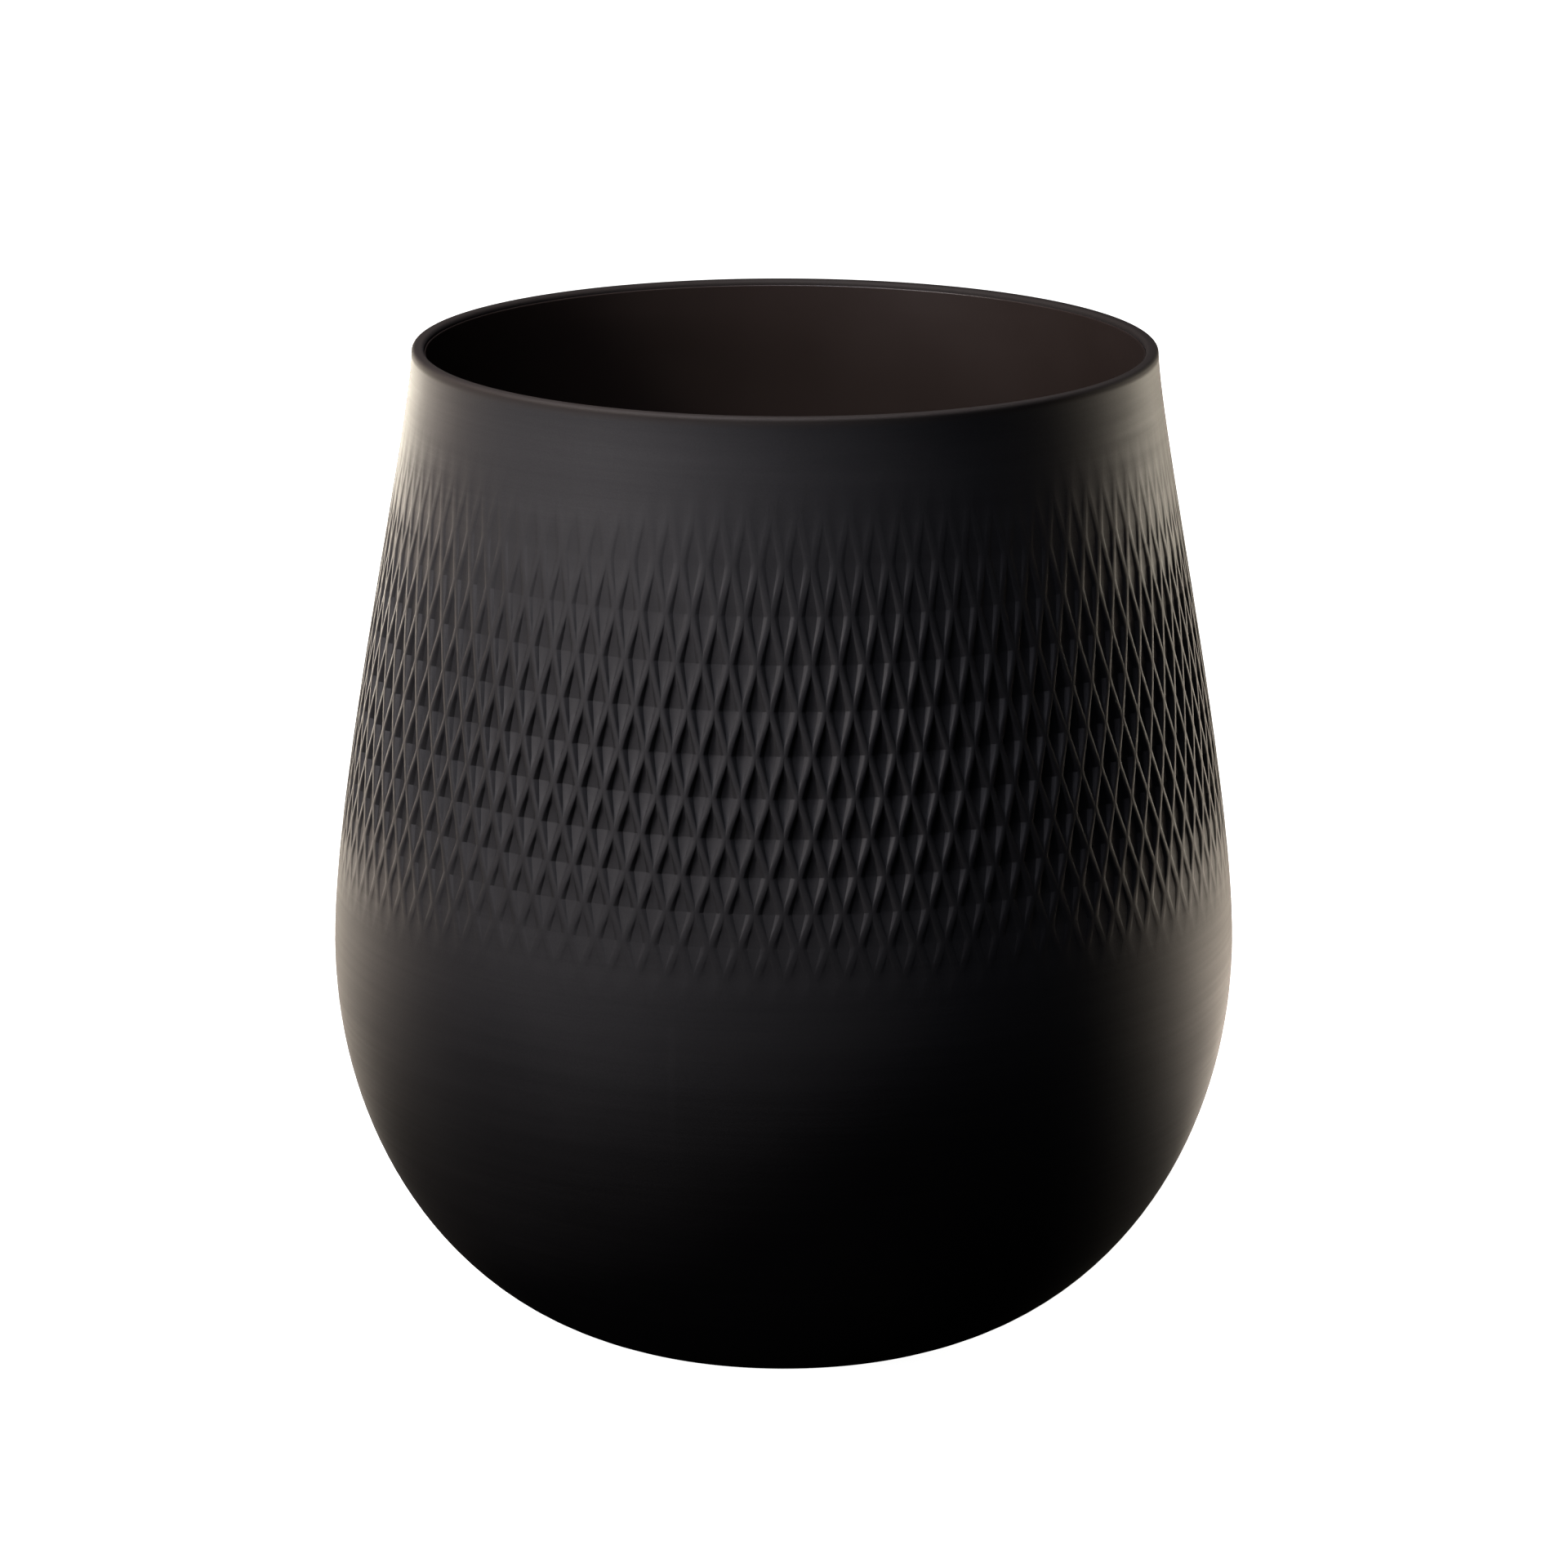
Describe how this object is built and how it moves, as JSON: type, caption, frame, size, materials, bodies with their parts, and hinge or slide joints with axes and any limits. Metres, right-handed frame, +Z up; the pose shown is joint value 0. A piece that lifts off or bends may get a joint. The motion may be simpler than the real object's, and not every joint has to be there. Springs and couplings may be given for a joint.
{
  "type": "empty candle jar",
  "caption": "Open egg-shaped matt black porcelain jar for a poured candle, empty, with a narrow ring foot, a wide low belly, a glazed hollow and a thin round lip.",
  "frame": {"origin": "on the jar's axis, in the plane that its foot pads rest on", "axes": "+Z up along the jar's axis, out of its mouth; -Y is the side that faces the viewer; the jar is the same all the way round apart from its foot pads, one of which is on +Y"},
  "size_m": [0.205, 0.205, 0.2246],
  "materials": {
    "matt_black_porcelain": "matt, unglazed, very slightly brushed",
    "satin_glaze": "satin brown-black",
    "pad_rubber": "matt"
  },
  "bodies": {
    "root": {"porcelain_body": "matt_black_porcelain", "glaze_lining": "satin_glaze", "foot_pad_1": "pad_rubber", "foot_pad_2": "pad_rubber", "foot_pad_3": "pad_rubber"}
  },
  "joints": []
}
